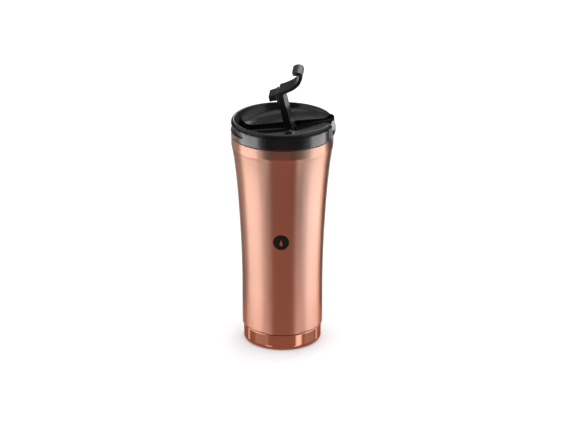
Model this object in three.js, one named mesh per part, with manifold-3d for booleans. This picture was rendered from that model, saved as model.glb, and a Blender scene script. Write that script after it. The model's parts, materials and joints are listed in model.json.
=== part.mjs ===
// Insulated tumbler with a push-on lid and a flip lever.
// Millimetres, +Z up, origin at the centre of the base. The lever swings in the XZ plane:
// it closes towards -X, where the sip slot is, and parks open towards +X, over the rim.
import * as THREE from 'three';
import { mergeVertices } from 'three/addons/utils/BufferGeometryUtils.js';
import Module from 'manifold-3d';

const wasm = await Module();
wasm.setup();

// ---- Driving dimensions ----
const GAP = 0.3;                 // room between pieces that touch
const SEGMENTS = 48;             // sides of a turned piece

// Steel body
const SHEET = 0.5;               // steel sheet thickness
const VACUUM_GAP = 2.1;          // between outer wall and liner
const BODY_R = 32.7;             // lower body radius
const COLLAR_R = 40.9;           // radius of the straight collar under the lid
const COLLAR_Z = 167.4;          // where the flare meets the collar
const MOUTH_Z = 174.9;           // top of the steel
const NECK_R = 30.7;             // stepped-in foot of the outer wall, inside the base cap
const NECK_Z = 3.5;
const SHOULDER_Z = 13.6;         // underside of the step above the base cap
const LINER_MOUTH_R = 36.9;      // straight bore that the lid plugs into
const LINER_MOUTH_Z = 161.5;
const LINER_FOOT_Z = 21.7;       // weld between liner tube and liner bottom
const LINER_FLOOR_Z = 11.0;
const CAP_R = 31.9;              // base cap radius
const CAP_TOP_Z = 13.3;
const CAP_CORNER_R = 3.6;

// Lid
const BAND_R = 41.15;
const BAND_Z = 175.2;            // underside of the band, just over the steel mouth
const RIM_Z = 188.4;
const RIM_R = 40.0;
const SKIRT_R = 36.3;
const SKIRT_INNER_R = 34.0;
const SKIRT_Z = 163.0;
const FLOOR_THICKNESS = 2.0;
const DECK_THICKNESS = 2.2;
const TROUGH_HALF = 12.3;        // half width of the trough
const EAR_INNER = 9.3;           // inner faces of the two hinge ears
const LUG_R = 42.6;              // catch outside the rim, under the parked lever
const LUG_HALF = 14.4;
const REACH = 46;                // past every face of the lid, for cutters

// Lever and hinge
const PIVOT = new THREE.Vector3(6.0, 0, 179.9);
const LEAN = THREE.MathUtils.degToRad(12.5);      // lever stands this far left of upright
const CLOSED = THREE.MathUtils.degToRad(5.5);     // slope of the closed arm, down to the slot
const RAMP = THREE.MathUtils.degToRad(13.2);      // slope of the ramp behind the hinge
const PIN_R = 1.25;
const PIN_HALF = 12.9;
const BOSS_R = 3.6;
const ARM_LENGTH = 33.4;
const ARM_HALF_FOOT = 3.1;       // half thickness at the hinge
const ARM_HALF_TOP = 2.1;        // half thickness at the tab
const LEVER_HALF = 11.3;         // half width at the tab
const LEVER_HALF_FOOT = 9.0;     // half width between the ears
const PLUG_LOW = 26.6;           // sip plug, measured along the arm from the hinge
const PLUG_HIGH = 33.1;
const PLUG_DEPTH = 9.9;          // end of the plug, measured from the arm's middle plane
const PLUG_HALF = 8.5;
const FLANGE_LOW = 19.4;
const FLANGE_OUTER = 3.9;
const STEM_Z = 23.5;
const SLOT_X = -23.1;
const SLOT_HALF_X = 4.0;
const SLOT_HALF_Y = 9.0;
const VENT_X = -15.4;
const VENT_R = 1.25;

// ---- Solids ----
function weld(geometry) {
  const bare = geometry.clone();
  bare.deleteAttribute('normal');
  bare.deleteAttribute('uv');
  const merged = mergeVertices(bare, 1e-4);
  const index = merged.getIndex();
  const kept = [];
  for (let i = 0; i < index.count; i += 3) {
    const [a, b, c] = [index.getX(i), index.getX(i + 1), index.getX(i + 2)];
    if (a !== b && b !== c && c !== a) kept.push(a, b, c);
  }
  merged.setIndex(kept);
  return merged;
}

function solid(geometry) {
  const welded = weld(geometry);
  return new wasm.Manifold(new wasm.Mesh({
    numProp: 3,
    vertProperties: new Float32Array(welded.getAttribute('position').array),
    triVerts: new Uint32Array(welded.getIndex().array),
  }));
}

function geometryOf(manifold) {
  const mesh = manifold.getMesh();
  const geometry = new THREE.BufferGeometry();
  geometry.setAttribute('position', new THREE.BufferAttribute(new Float32Array(mesh.vertProperties), 3));
  geometry.setIndex(new THREE.BufferAttribute(new Uint32Array(mesh.triVerts), 1));
  return geometry;
}

// Turned piece: [radius, height] points, anticlockwise, starting and ending on the axis.
function turned(points, segments = SEGMENTS) {
  const profile = points.map(([r, z]) => new THREE.Vector2(r, z));
  return weld(new THREE.LatheGeometry(profile, segments).rotateX(Math.PI / 2));
}

// Turned ring: the profile is closed back to its first point.
function turnedRing(points, segments = SEGMENTS) {
  return turned([...points, points[0]], segments);
}

// Side profile in X and Z, given thickness along Y from y0 to y1.
function prismY(shape, y0, y1) {
  const settings = { depth: y1 - y0, bevelEnabled: false, curveSegments: 8 };
  const geometry = new THREE.ExtrudeGeometry(shape, settings);
  return geometry.rotateX(Math.PI / 2).translate(0, y1, 0);
}

// Plan outline in X and Y, given height from z0 to z1.
function prismZ(shape, z0, z1) {
  const settings = { depth: z1 - z0, bevelEnabled: false, curveSegments: 8 };
  const geometry = new THREE.ExtrudeGeometry(shape, settings);
  return geometry.translate(0, 0, z0);
}

function outline(points) {
  return new THREE.Shape(points.map(([x, y]) => new THREE.Vector2(x, y)));
}

function block(x0, x1, y0, y1, z0, z1) {
  const geometry = new THREE.BoxGeometry(x1 - x0, y1 - y0, z1 - z0);
  return geometry.translate((x0 + x1) / 2, (y0 + y1) / 2, (z0 + z1) / 2);
}

function rodY(radius, y0, y1, segments = 24) {
  return new THREE.CylinderGeometry(radius, radius, y1 - y0, segments).translate(0, (y0 + y1) / 2, 0);
}

function rodZ(radius, z0, z1, segments = 24) {
  return new THREE.CylinderGeometry(radius, radius, z1 - z0, segments)
    .rotateX(Math.PI / 2).translate(0, 0, (z0 + z1) / 2);
}

// Oblong with rounded corners, long along Y.
const OBLONG_CORNER = 2.0;

function roundedOblong(x, halfX, halfY) {
  const [r, u, v] = [OBLONG_CORNER, halfX - OBLONG_CORNER, halfY - OBLONG_CORNER];
  const shape = new THREE.Shape();
  shape.moveTo(x + halfX, -v);
  shape.lineTo(x + halfX, v);
  shape.absarc(x + u, v, r, 0, Math.PI / 2, false);
  shape.lineTo(x - u, halfY);
  shape.absarc(x - u, v, r, Math.PI / 2, Math.PI, false);
  shape.lineTo(x - halfX, -v);
  shape.absarc(x - u, -v, r, Math.PI, 1.5 * Math.PI, false);
  shape.lineTo(x + u, -halfY);
  shape.absarc(x + u, -v, r, 1.5 * Math.PI, 2 * Math.PI, false);
  return shape;
}

function arcPoints(cx, cy, radius, from, to, steps) {
  const points = [];
  for (let i = 0; i <= steps; i += 1) {
    const angle = THREE.MathUtils.degToRad(from + (to - from) * i / steps);
    points.push([cx + radius * Math.cos(angle), cy + radius * Math.sin(angle)]);
  }
  return points;
}

// ---- Steel body ----
// The side: straight at the foot, then one long flare up to the collar.
const flare = new THREE.SplineCurve([
  [BODY_R, 15.0], [BODY_R, 38.0], [32.85, 62.0], [33.95, 94.0],
  [36.1, 128.0], [38.35, 151.0], [40.3, 164.4],
].map(([r, z]) => new THREE.Vector2(r, z))).getPoints(13).map((p) => [p.x, p.y]);

function outerWall() {
  const outside = [
    [NECK_R, NECK_Z], [NECK_R, SHOULDER_Z], [BODY_R - 0.7, SHOULDER_Z + 0.3],
    ...flare, [COLLAR_R, COLLAR_Z], [COLLAR_R, MOUTH_Z],
  ];
  const inside = [
    [COLLAR_R - SHEET, MOUTH_Z], [COLLAR_R - SHEET, COLLAR_Z],
    ...flare.toReversed().map(([r, z]) => [r - SHEET, z]),
    [BODY_R - SHEET, SHOULDER_Z + 1.0], [BODY_R - 0.9, SHOULDER_Z + 0.8],
    [NECK_R - SHEET, SHOULDER_Z + SHEET], [NECK_R - SHEET, NECK_Z],
  ];
  return turnedRing([...outside, ...inside]);
}

// The liner tube follows the outer wall at the vacuum gap, then opens into the straight mouth.
function innerWall() {
  const bore = flare
    .filter(([, z]) => z > LINER_FOOT_Z + 8 && z < LINER_MOUTH_Z - 6)
    .map(([r, z]) => [r - 2 * SHEET - VACUUM_GAP, z]);
  const footR = BODY_R - 2 * SHEET - VACUUM_GAP;
  const inside = [
    [footR, LINER_FOOT_Z + GAP], ...bore,
    [LINER_MOUTH_R, LINER_MOUTH_Z], [LINER_MOUTH_R, MOUTH_Z - 2.6],
    [LINER_MOUTH_R + 0.9, MOUTH_Z - 0.9], [COLLAR_R - SHEET - GAP, MOUTH_Z],
  ];
  const outside = [
    [COLLAR_R - SHEET - GAP, MOUTH_Z - SHEET], [LINER_MOUTH_R + 1.2, MOUTH_Z - SHEET - 0.9],
    [LINER_MOUTH_R + SHEET, MOUTH_Z - 2.8], [LINER_MOUTH_R + SHEET, LINER_MOUTH_Z],
    ...bore.toReversed().map(([r, z]) => [r + SHEET, z]), [footR + SHEET, LINER_FOOT_Z + GAP],
  ];
  return turnedRing([...outside.toReversed(), ...inside.toReversed()]);
}

function innerBottom() {
  const outerR = BODY_R - SHEET - VACUUM_GAP;
  const corner = LINER_FOOT_Z - LINER_FLOOR_Z;
  return turned([
    [0, LINER_FLOOR_Z],
    ...arcPoints(outerR - corner, LINER_FOOT_Z, corner, -90, 0, 6),
    ...arcPoints(outerR - corner, LINER_FOOT_Z, corner - SHEET, 0, -90, 6),
    [0, LINER_FLOOR_Z + SHEET],
  ]);
}

// Plate that closes the outer wall, with the evacuation hole in its middle.
const PLATE_Z = 5.6;
const EVACUATION_R = 1.5;

function outerBottom() {
  const plateR = NECK_R - SHEET - GAP;
  return turnedRing([
    [EVACUATION_R, PLATE_Z], [plateR - 1.2, PLATE_Z], [plateR - SHEET, PLATE_Z - 0.6],
    [plateR - SHEET, NECK_Z + 0.1], [plateR, NECK_Z + 0.1], [plateR, PLATE_Z],
    [plateR - 0.8, PLATE_Z + SHEET], [EVACUATION_R, PLATE_Z + SHEET],
  ]);
}

function sealBead() {
  const stemR = EVACUATION_R - GAP;
  const capTop = PLATE_Z - GAP;
  return turned([
    [0, capTop - 1.2], [2.2, capTop - 1.0], [3.2, capTop], [stemR, capTop],
    [stemR, PLATE_Z + SHEET + 0.4], [0, PLATE_Z + SHEET + 0.7],
  ], 20);
}

function getter() {
  return rodZ(5.0, PLATE_Z + SHEET + GAP, PLATE_Z + SHEET + GAP + 2.0, 20).translate(13, 0, 0);
}

function baseCap() {
  const centre = CAP_R - CAP_CORNER_R;
  return turned([
    [0, 1.2], [19.5, 1.2], [21.5, 0],
    ...arcPoints(centre, CAP_CORNER_R, CAP_CORNER_R, -90, 0, 6), [CAP_R, CAP_TOP_Z],
    [CAP_R - SHEET, CAP_TOP_Z],
    ...arcPoints(centre, CAP_CORNER_R, CAP_CORNER_R - SHEET, 0, -90, 6),
    [21.7, SHEET], [19.7, 1.2 + SHEET], [0, 1.2 + SHEET],
  ]);
}

// ---- Lid ----
// Height of the sloping deck above the base: low at the sip slot, high at the back.
function deckHeight(x) {
  return 181.0 + 0.1265 * x - 0.0003 * x * x;
}

function deckLine(drop, from = -REACH, to = REACH, steps = 10) {
  const points = [];
  for (let i = 0; i <= steps; i += 1) {
    const x = from + (to - from) * i / steps;
    points.push([x, deckHeight(x) - drop]);
  }
  return points;
}

// A line below the hinge at a slope, lowered by an offset measured across it.
function belowArm(x, slope, offset) {
  return PIVOT.z + (x - PIVOT.x) * Math.tan(slope) - offset / Math.cos(slope);
}

const RAMP_FOOT_X = 12.5;
const RAMP_TOP_X = 39.0;
const FLOOR_END_X = 9.5;
const CLEAR_OF_ARM = 3.4;        // from the arm's middle plane to the ramp
const CLEAR_OF_PAD = 4.1;        // from the closed arm's middle plane to the trough floor

function lidBlank() {
  return solid(turned([
    [0, SKIRT_Z], [SKIRT_R - 0.6, SKIRT_Z], [SKIRT_R, SKIRT_Z + 0.6], [SKIRT_R, BAND_Z],
    [BAND_R - 0.35, BAND_Z], [BAND_R, BAND_Z + 0.6], [BAND_R, 184.8],
    [BAND_R - 0.25, 186.6], [RIM_R + 0.4, 187.7], [RIM_R - 0.3, RIM_Z - 0.1], [RIM_R - 0.8, RIM_Z],
    [38.9, RIM_Z], [0, RIM_Z],
  ], 64));
}

// Inside of the bowl: nearly upright at the lip, rounding in to the deck.
function bowl() {
  return solid(turned([
    [0, 172.4], [20, 172.4], [26, 173.9], [30.2, 176.2], [33.5, 179.1], [35.9, 182.2], [37.5, 185.4],
    [38.3, 187.6], [38.9, RIM_Z], [38.9, 200], [0, 200],
  ], 64));
}

// Ends of the trough: steeper than the bowl, to let the closed lever lie in it.
function well() {
  return solid(turned([
    [0, 160], [35.3, 160], [35.3, 171.6], [35.7, 176.5], [36.7, 181.6], [37.8, 185.4],
    [38.3, 187.6], [38.9, RIM_Z], [38.9, 200], [0, 200],
  ], 64));
}

function catchLug() {
  const ring = solid(turnedRing([
    [37.5, 176.6], [BAND_R - 0.2, 176.6], [LUG_R, 178.4], [LUG_R, 186.4],
    [LUG_R - 0.7, 187.8], [LUG_R - 1.9, RIM_Z], [37.5, RIM_Z],
  ], 64));
  return ring.intersect(solid(block(20, REACH, -LUG_HALF, LUG_HALF, 170, 195)));
}

// Floor of the trough, from the slot end past the hinge to the foot of the ramp.
function troughFloor(drop) {
  return [
    [-REACH, belowArm(-REACH, CLOSED, CLEAR_OF_PAD) - drop],
    [PIVOT.x, belowArm(PIVOT.x, CLOSED, CLEAR_OF_PAD) - drop],
    [FLOOR_END_X + drop * 0.4, belowArm(PIVOT.x, CLOSED, CLEAR_OF_PAD) - drop],
    [RAMP_FOOT_X + drop * 0.4, belowArm(RAMP_FOOT_X + drop * 0.4, RAMP, CLEAR_OF_ARM + drop)],
  ];
}

function troughCutter() {
  const side = outline([
    ...troughFloor(0), [RAMP_TOP_X, belowArm(RAMP_TOP_X, RAMP, CLEAR_OF_ARM)],
    [43.2, 181.2], [REACH, 181.2], [REACH, 200], [-REACH, 200],
  ]);
  const trough = solid(prismY(side, -TROUGH_HALF, TROUGH_HALF));
  const openEnd = solid(block(6, REACH + 1, -TROUGH_HALF - 1, TROUGH_HALF + 1, 165, 201));
  return trough.intersect(well().add(openEnd));
}

function deckCutter() {
  const above = outline([...deckLine(0), [REACH, 200], [-REACH, 200]]);
  return solid(prismY(above, -REACH, REACH)).intersect(bowl());
}

// Room around the sip slot, run out to the skirt.
function slotSurround(margin, z0, z1) {
  const half = SLOT_HALF_Y + margin;
  return solid(prismZ(roundedOblong(SLOT_X, SLOT_HALF_X + margin, half), z0, z1))
    .add(solid(block(-REACH, SLOT_X, -half, half, z0, z1)));
}

// Hollow under the deck and the trough, open at the bottom, around the sip chimney.
function undersideCutter() {
  const wallHalf = TROUGH_HALF + DECK_THICKNESS;
  const low = SKIRT_Z - 10;
  const underDeck = outline([[-REACH, low], [REACH, low], ...deckLine(DECK_THICKNESS).toReversed()]);
  const underTrough = outline([
    [-REACH, low], [REACH, low], [REACH, belowArm(REACH, RAMP, CLEAR_OF_ARM + FLOOR_THICKNESS)],
    ...troughFloor(FLOOR_THICKNESS).toReversed(),
  ]);
  const chimney = slotSurround(1.2, SKIRT_Z + 0.6, 176);
  const core = solid(rodZ(SKIRT_INNER_R, low + 1, 190, 64));
  return solid(prismY(underDeck, wallHalf, REACH))
    .add(solid(prismY(underDeck, -REACH, -wallHalf)))
    .add(solid(prismY(underTrough, -wallHalf - 0.01, wallHalf + 0.01)))
    .intersect(core)
    .subtract(chimney);
}

// Finger scoop under the lip, below the closed thumb tab. It runs out to nothing at both ends.
function fingerScoop() {
  const wide = 52.0;
  const ring = solid(turnedRing([
    [wide + 3.2, 179.4], [wide + 8, 178.9], [wide + 8, 185.7], [wide + 3.2, 185.1],
    [wide, 182.7], [wide, 180.6],
  ], 96).translate(wide - 38.2, 0, 0));
  return ring.intersect(solid(block(-60, -20, -REACH, REACH, 170, 195)));
}

// Ears at the ends of the hinge pin, standing on the trough floor against its walls.
function hingeEar(side) {
  const foot = belowArm(PIVOT.x, CLOSED, CLEAR_OF_PAD) - 1;
  const shape = outline([
    [PIVOT.x - 5.6, foot], [PIVOT.x + 5.6, foot], ...arcPoints(PIVOT.x, PIVOT.z, 3.2, 0, 180, 8),
  ]);
  const [y0, y1] = side > 0 ? [EAR_INNER, TROUGH_HALF + 1] : [-TROUGH_HALF - 1, -EAR_INNER];
  return solid(prismY(shape, y0, y1));
}

function lidShell() {
  const sealGroove = solid(turnedRing([[35.0, 166.0], [38, 166.0], [38, 169.5], [35.0, 169.5]], 64));
  const pinHole = solid(rodY(PIN_R + 0.25, -PIN_HALF - GAP, PIN_HALF + GAP).translate(PIVOT.x, 0, PIVOT.z));
  const sipSlot = solid(prismZ(roundedOblong(SLOT_X, SLOT_HALF_X, SLOT_HALF_Y), 160, 180));
  const vent = solid(rodZ(VENT_R, 160, 180, 16).translate(VENT_X, 0, 0));
  const shell = lidBlank().add(catchLug())
    .subtract(deckCutter())
    .subtract(troughCutter())
    .subtract(undersideCutter())
    .add(hingeEar(1))
    .add(hingeEar(-1))
    .subtract(fingerScoop())
    .subtract(sealGroove)
    .subtract(pinHole)
    .subtract(sipSlot)
    .subtract(vent);
  return geometryOf(shell);
}

// Dish that closes the hollow lid from below and leaves the chimney and the vent open.
function lidInsert() {
  const dishR = SKIRT_INNER_R - GAP;
  const dish = solid(turned([
    [0, SKIRT_Z + 0.2], [dishR, SKIRT_Z + 0.2], [dishR, SKIRT_Z + 3.6], [dishR - 1.4, SKIRT_Z + 3.6],
    [dishR - 1.4, SKIRT_Z + 1.6], [0, SKIRT_Z + 1.6],
  ], 64));
  const drain = solid(rodZ(VENT_R, 160, 172, 16).translate(VENT_X, 0, 0));
  return geometryOf(dish.subtract(slotSurround(1.2 + GAP, 160, 172)).subtract(drain));
}

function sealRing() {
  const lip = LINER_MOUTH_R - 0.25;
  return turnedRing([
    [35.3, 166.3], [36.0, 166.3], [lip, 166.7], [lip, 167.1], [36.1, 167.5], [36.1, 167.9],
    [lip, 168.2], [lip, 168.6], [36.0, 169.2], [35.3, 169.2],
  ]);
}

function hingePin() {
  return rodY(PIN_R, -PIN_HALF, PIN_HALF, 20);
}

// ---- Lever, in its own frame: hinge at the origin, arm along +Z, sip plug towards -X ----
// A strip of even thickness along a smooth middle line.
function ribbon(middle, startThickness, endThickness, steps) {
  const curve = new THREE.SplineCurve(middle.map(([x, z]) => new THREE.Vector2(x, z)));
  const left = [];
  const right = [];
  for (let i = 0; i <= steps; i += 1) {
    const t = i / steps;
    const point = curve.getPoint(t);
    const along = curve.getTangent(t);
    const half = (startThickness + (endThickness - startThickness) * t) / 2;
    left.push([point.x - along.y * half, point.y + along.x * half]);
    right.push([point.x + along.y * half, point.y - along.x * half]);
  }
  return outline([...right, ...left.toReversed()]);
}

// The free end of the tab lies above this height.
const TAB_TOP_Z = 44.2;

function leverArm() {
  const arm = outline([
    [ARM_HALF_FOOT, 0], [ARM_HALF_TOP, ARM_LENGTH - 1.6], [ARM_HALF_TOP, ARM_LENGTH],
    [-ARM_HALF_TOP + 0.6, ARM_LENGTH + 0.2], [-ARM_HALF_TOP, ARM_LENGTH - 0.5], [-ARM_HALF_FOOT, 0],
  ]);
  const tab = ribbon([
    [-0.8, 33.0], [2.5, 33.4], [6.2, 34.1], [10.7, 35.3], [14.8, 37.4], [17.6, 40.4],
    [19.0, 43.4], [18.5, 45.5], [16.3, 46.3], [12.6, 46.4],
  ], 2.7, 3.0, 30);
  const full = solid(prismY(arm, -LEVER_HALF, LEVER_HALF))
    .add(solid(prismY(tab, -LEVER_HALF, LEVER_HALF)))
    .add(solid(rodY(BOSS_R, -LEVER_HALF, LEVER_HALF, 28)));

  // Front outline of the lever: narrow between the hinge ears, full width at the tab.
  const front = new THREE.Shape([
    [-LEVER_HALF_FOOT, -6], [LEVER_HALF_FOOT, -6], [LEVER_HALF_FOOT, 5], [LEVER_HALF, 23],
    [LEVER_HALF, 60], [-LEVER_HALF, 60], [-LEVER_HALF, 23], [-LEVER_HALF_FOOT, 5],
  ].map(([y, z]) => new THREE.Vector2(y, z)));
  const mask = solid(new THREE.ExtrudeGeometry(front, { depth: 60, bevelEnabled: false })
    .translate(0, 0, -30).rotateX(Math.PI / 2).rotateZ(Math.PI / 2));

  // Round corners at the free end of the thumb tab.
  const cornerR = 4.2;
  const endX = 12.4;
  const plan = new THREE.Shape();
  plan.moveTo(40, -LEVER_HALF);
  plan.lineTo(40, LEVER_HALF);
  plan.lineTo(endX + cornerR, LEVER_HALF);
  plan.absarc(endX + cornerR, LEVER_HALF - cornerR, cornerR, Math.PI / 2, Math.PI, false);
  plan.lineTo(endX, -LEVER_HALF + cornerR);
  plan.absarc(endX + cornerR, -LEVER_HALF + cornerR, cornerR, Math.PI, 1.5 * Math.PI, false);
  const roundEnd = solid(prismZ(plan, TAB_TOP_Z, 60)).add(solid(block(-20, 40, -20, 20, -10, TAB_TOP_Z)));

  const pinHole = solid(rodY(PIN_R + 0.2, -20, 20, 20));
  const stemHole = solid(rodZ(1.9, 0, 3.0, 16).rotateY(-Math.PI / 2).translate(0, 0, STEM_Z));
  return geometryOf(full.intersect(mask).intersect(roundEnd).subtract(pinHole)
    .subtract(stemHole));
}

// Silicone plug: a flange against the arm, an oblong stopper and a short stem into the arm.
function sipPlug() {
  const face = (z) => -ARM_HALF_FOOT + (ARM_HALF_FOOT - ARM_HALF_TOP) * z / ARM_LENGTH - GAP;
  const pad = solid(prismY(outline([
    [face(FLANGE_LOW), FLANGE_LOW], [face(PLUG_HIGH), PLUG_HIGH],
    [-FLANGE_OUTER, PLUG_HIGH], [-FLANGE_OUTER, FLANGE_LOW],
  ]), -LEVER_HALF_FOOT, LEVER_HALF_FOOT));
  const middle = (PLUG_LOW + PLUG_HIGH) / 2;
  const halfThick = (PLUG_HIGH - PLUG_LOW) / 2;
  const stopper = solid(prismZ(roundedOblong(0, halfThick, PLUG_HALF), 0, PLUG_DEPTH - FLANGE_OUTER + 0.5)
    .rotateY(-Math.PI / 2).translate(-FLANGE_OUTER + 0.5, 0, middle));
  const taper = solid(prismY(outline([
    [0, PLUG_LOW - 1], [0, PLUG_HIGH + 1], [-FLANGE_OUTER, PLUG_HIGH + 1], [-FLANGE_OUTER, PLUG_HIGH],
    [-PLUG_DEPTH, PLUG_HIGH - 1.3], [-PLUG_DEPTH, PLUG_LOW + 0.4], [-FLANGE_OUTER, PLUG_LOW],
    [-FLANGE_OUTER, PLUG_LOW - 1],
  ]), -20, 20));
  const stem = solid(rodZ(1.6, 0.35, 3.2, 16).rotateY(-Math.PI / 2).translate(0, 0, STEM_Z));
  return geometryOf(pad.add(stopper.intersect(taper)).add(stem));
}

// ---- Materials ----
function finish(color, roughness, metalness) {
  return new THREE.MeshStandardMaterial({ color, roughness, metalness });
}

const copper = () => finish(0xc98a6e, 0.35, 1.0);
const steel = () => finish(0xb8b9bb, 0.35, 1.0);
const black = () => finish(0x17181a, 0.4, 0.0);
const silicone = () => finish(0x222326, 0.7, 0.0);
const resin = () => finish(0x8a7a58, 0.5, 0.0);

function named(name, geometry, material) {
  const mesh = new THREE.Mesh(geometry, material);
  mesh.name = name;
  return mesh;
}

// ---- Assembly ----
const group = new THREE.Group();

const cup = new THREE.Group();
cup.add(named('outer_wall', outerWall(), copper()));
cup.add(named('inner_wall', innerWall(), steel()));
cup.add(named('inner_bottom', innerBottom(), steel()));
cup.add(named('outer_bottom', outerBottom(), steel()));
cup.add(named('vacuum_seal_bead', sealBead(), resin()));
cup.add(named('getter', getter(), steel()));
cup.add(named('base_cap', baseCap(), copper()));

const lid = new THREE.Group();
lid.add(named('lid_shell', lidShell(), black()));
lid.add(named('lid_insert', lidInsert(), black()));
lid.add(named('lid_seal_ring', sealRing(), silicone()));
const pin = named('hinge_pin', hingePin(), steel());
pin.position.copy(PIVOT);
lid.add(pin);

const lever = new THREE.Group();
lever.add(named('lever_arm', leverArm(), black()));
lever.add(named('sip_plug', sipPlug(), silicone()));
lever.position.copy(PIVOT);
lever.rotation.y = -LEAN;
lid.add(lever);

group.add(cup, lid);
export default group;
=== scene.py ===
import json
import math

import bpy
import numpy as np
from mathutils import Matrix, Vector


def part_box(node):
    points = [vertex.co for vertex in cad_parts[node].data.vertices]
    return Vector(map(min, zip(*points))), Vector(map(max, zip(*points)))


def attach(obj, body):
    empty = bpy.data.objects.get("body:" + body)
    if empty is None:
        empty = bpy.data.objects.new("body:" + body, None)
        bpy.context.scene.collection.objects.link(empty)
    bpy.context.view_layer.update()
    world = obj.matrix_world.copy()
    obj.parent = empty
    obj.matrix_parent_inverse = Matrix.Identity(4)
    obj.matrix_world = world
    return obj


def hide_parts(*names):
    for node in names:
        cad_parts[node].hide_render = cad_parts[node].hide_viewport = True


# Looks for the insulated tumbler. Shapes are worked out in millimetres, in the row frame, and turned
# into metres when a mesh is made. The lever's own frame has its hinge at the origin and its arm up.
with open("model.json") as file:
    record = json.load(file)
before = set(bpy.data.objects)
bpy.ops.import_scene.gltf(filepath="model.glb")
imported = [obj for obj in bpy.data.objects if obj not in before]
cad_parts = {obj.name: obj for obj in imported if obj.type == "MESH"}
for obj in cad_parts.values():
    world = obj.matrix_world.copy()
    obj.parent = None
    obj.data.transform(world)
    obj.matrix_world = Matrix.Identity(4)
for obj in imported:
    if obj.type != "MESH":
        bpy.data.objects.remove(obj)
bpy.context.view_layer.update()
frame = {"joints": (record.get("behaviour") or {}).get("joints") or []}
MM = 0.001


def corner_mm(node, high):
    """One corner of a CAD node's box, in millimetres."""
    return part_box(node)[1 if high else 0] / MM


# ---- Driving dimensions ----
GAP = 0.3
SHEET = 0.5
VACUUM_GAP = 2.1

COLLAR_R = corner_mm("outer_wall", True).y
MOUTH_Z = corner_mm("outer_wall", True).z
NECK_Z = corner_mm("outer_wall", False).z
BODY_R = 32.7
COLLAR_Z = 167.4
NECK_R = 30.7
SHOULDER_Z = 13.6
LINER_MOUTH_R = 36.9
LINER_MOUTH_Z = 161.5
LINER_FOOT_Z = corner_mm("inner_bottom", True).z
LINER_FLOOR_Z = corner_mm("inner_bottom", False).z
CAP_R = corner_mm("base_cap", True).y
CAP_TOP_Z = corner_mm("base_cap", True).z
CAP_CORNER_R = 3.6
PLATE_Z = 5.6
EVACUATION_R = 1.5

BAND_R = corner_mm("lid_shell", True).y
RIM_Z = corner_mm("lid_shell", True).z
LUG_R = corner_mm("lid_shell", True).x
SKIRT_Z = corner_mm("lid_shell", False).z
BAND_Z = 175.2
RIM_R = 40.0
SKIRT_R = 36.3
SKIRT_INNER_R = 34.0
FLOOR_THICKNESS = 2.0
DECK_THICKNESS = 2.2
TROUGH_HALF = 12.3
EAR_INNER = 9.3
EAR_HALF_X = 5.6
EAR_TOP_R = 2.8
GROOVE_R = 35.0
GROOVE_Z = 167.75
GROOVE_HALF = 1.75
LUG_HALF = 14.4

HINGE = next(j for j in frame["joints"] if j["name"] == "lever_hinge")
PIVOT = Vector(HINGE["pos_m"]) / MM
LEAN = math.radians(12.5)
CLOSED = math.radians(5.5)
RAMP = math.radians(13.2)
PIN_R = 1.25
PIN_HALF = corner_mm("hinge_pin", True).y
BOSS_R = 3.6
ARM_LENGTH = 33.4
ARM_HALF_FOOT = 3.1
ARM_HALF_TOP = 2.1
LEVER_HALF = corner_mm("lever_arm", True).y
LEVER_HALF_FOOT = 9.0
PLUG_LOW = 26.6
PLUG_HIGH = 33.1
PLUG_DEPTH = 9.9
PLUG_HALF = 8.5
FLANGE_LOW = 19.4
FLANGE_OUTER = 3.9
SLOT_X = -23.1
SLOT_HALF_X = 4.0
SLOT_HALF_Y = 9.0
VENT_X = -15.4
VENT_R = 1.25

TURN_STEPS = 192
LID_STEP = 0.42      # grid for the moulded lid
LEVER_STEP = 0.3


# ---- Turned pieces ----
def smooth_line(points, steps):
    """Even points along a Catmull-Rom curve through the given ones."""
    pts = [np.array(p, float) for p in points]
    pts = [2 * pts[0] - pts[1], *pts, 2 * pts[-1] - pts[-2]]
    spans = len(pts) - 3
    line = []
    for i in range(steps + 1):
        at = min(i * spans / steps, spans - 1e-9)
        k, t = int(at), at - int(at)
        a, b, c, d = pts[k:k + 4]
        line.append(0.5 * (2 * b + (c - a) * t + (2 * a - 5 * b + 4 * c - d) * t * t
                           + (3 * b - a - 3 * c + d) * t ** 3))
    return [tuple(p) for p in line]


def rounded(points, radius, steps=4, sharpest=12.0):
    """A closed outline with its corners rounded. Corners flatter than sharpest degrees stay."""
    pts = [np.array(p, float) for p in points]
    out = []
    for i, p in enumerate(pts):
        before, after = pts[i - 1], pts[(i + 1) % len(pts)]
        to_a, to_b = before - p, after - p
        len_a, len_b = np.hypot(*to_a), np.hypot(*to_b)
        to_a, to_b = to_a / len_a, to_b / len_b
        turn = math.degrees(math.acos(np.clip(-to_a @ to_b, -1, 1)))
        if turn < sharpest:
            out.append(tuple(p))
            continue
        reach = min(radius * math.tan(math.radians(turn) / 2), 0.45 * len_a, 0.45 * len_b)
        start, end = p + to_a * reach, p + to_b * reach
        for k in range(steps + 1):
            t = k / steps
            out.append(tuple((1 - t) ** 2 * start + 2 * t * (1 - t) * p + t * t * end))
    return out


def arc(cx, cy, radius, start, end, steps=10):
    angles = np.radians(np.linspace(start, end, steps + 1))
    return [(cx + radius * math.cos(a), cy + radius * math.sin(a)) for a in angles]


def new_object(name, vertices_mm, faces, material, sharp=None):
    mesh = bpy.data.meshes.new(name)
    mesh.from_pydata([tuple(v) for v in np.asarray(vertices_mm, float) * MM], [], faces)
    mesh.validate()
    mesh.polygons.foreach_set("use_smooth", [True] * len(mesh.polygons))
    if sharp is not None:
        mesh.set_sharp_from_angle(angle=math.radians(sharp))
    mesh.materials.append(material)
    obj = bpy.data.objects.new(name, mesh)
    bpy.context.scene.collection.objects.link(obj)
    return obj


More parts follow.
